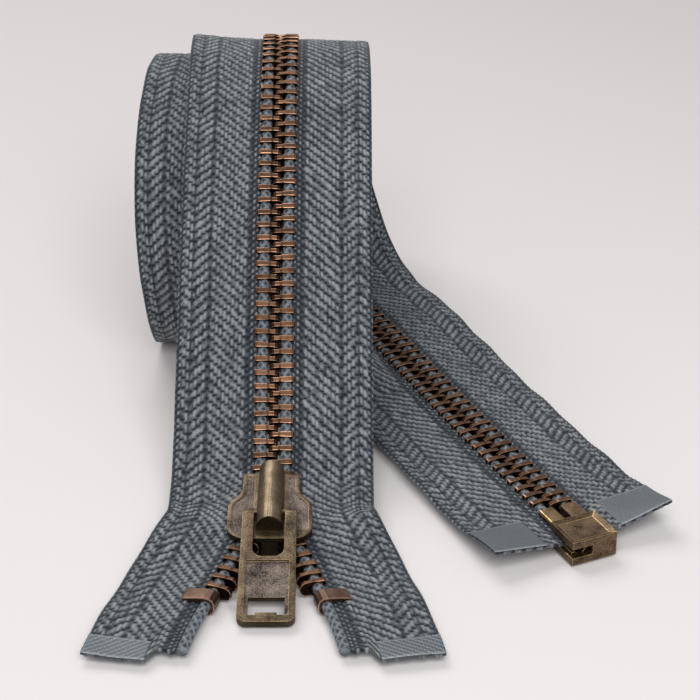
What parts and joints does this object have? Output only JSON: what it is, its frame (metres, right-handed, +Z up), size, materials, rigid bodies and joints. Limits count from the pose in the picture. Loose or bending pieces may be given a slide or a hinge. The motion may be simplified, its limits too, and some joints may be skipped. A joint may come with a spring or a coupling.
{
  "type": "zipper",
  "caption": "Open-end metal zipper lying in a loose coil: woven tapes, clamped teeth, auto-lock slider with a framed pull, pins and retainer box.",
  "frame": {"origin": "middle of the coiled zipper, on the surface it lies on", "axes": "+Z up, +Y from the slider and free ends towards the coil, +X to the side of the retainer box"},
  "size_m": [0.0996, 0.1606, 0.0579],
  "materials": {
    "tape": "herringbone weave, matte",
    "core_cord": "braided cord, matte",
    "teeth": "antique copper with bright worn edges",
    "stops": "antique copper, satin",
    "slider": "antique bronze with bright worn edges",
    "pull": "antique bronze with bright worn edges",
    "box": "antique copper, scratched",
    "spring_steel": "bright spring steel",
    "film": "satin stiffening film"
  },
  "bodies": {
    "root": {"left_tape": "tape", "left_core_cord": "core_cord", "left_teeth": "teeth", "left_bottom_film": "film", "right_tape": "tape", "right_core_cord": "core_cord", "right_teeth": "teeth", "right_bottom_film": "film", "insertion_pin": "stops", "retainer_pin": "stops", "retainer_box": "box"},
    "slider": {"slider_body": "slider", "slider_crown": "slider", "lock_spring": "spring_steel"},
    "pawl": {"lock_pawl": "slider"},
    "pull": {"pull_tab": "pull"},
    "left_end": {"left_end_teeth": "teeth", "left_top_stop": "stops", "left_top_film": "film"},
    "right_end": {"right_end_teeth": "teeth", "right_top_stop": "stops", "right_top_film": "film"}
  },
  "joints": [
    {"name": "slider_travel", "type": "hinge", "parent": "root", "child": "slider", "pos_m": [-0.02059, -0.0597, 0.11542], "axis": [-1, 0, 0], "range_deg": [0, 4.7], "deforming": ["left_tape", "right_tape", "left_core_cord", "right_core_cord", "left_end_teeth", "right_end_teeth"]},
    {"name": "left_end_swing", "type": "hinge", "parent": "root", "child": "left_end", "pos_m": [-0.02279, -0.03779, 0.00451], "axis": [0, 0, 1], "range_deg": [0, 7.52]},
    {"name": "right_end_swing", "type": "hinge", "parent": "root", "child": "right_end", "pos_m": [-0.01839, -0.03779, 0.00451], "axis": [0, 0, -1], "range_deg": [0, 7.52]},
    {"name": "pull_swing", "type": "hinge", "parent": "slider", "child": "pull", "pos_m": [-0.02059, -0.0442, 0.00679], "axis": [-1, 0, 0], "range_deg": [0, 150]},
    {"name": "lock_lift", "type": "hinge", "parent": "slider", "child": "pawl", "pos_m": [-0.02059, -0.03483, 0.00806], "axis": [-1, 0, 0], "range_deg": [0, 2.1], "deforming": ["lock_spring"]}
  ],
  "couplings": [
    {"joint": "left_end_swing", "follows": "slider_travel", "ratio": 1.6},
    {"joint": "right_end_swing", "follows": "slider_travel", "ratio": 1.6},
    {"joint": "lock_lift", "follows": "pull_swing", "ratio": 0.014}
  ]
}
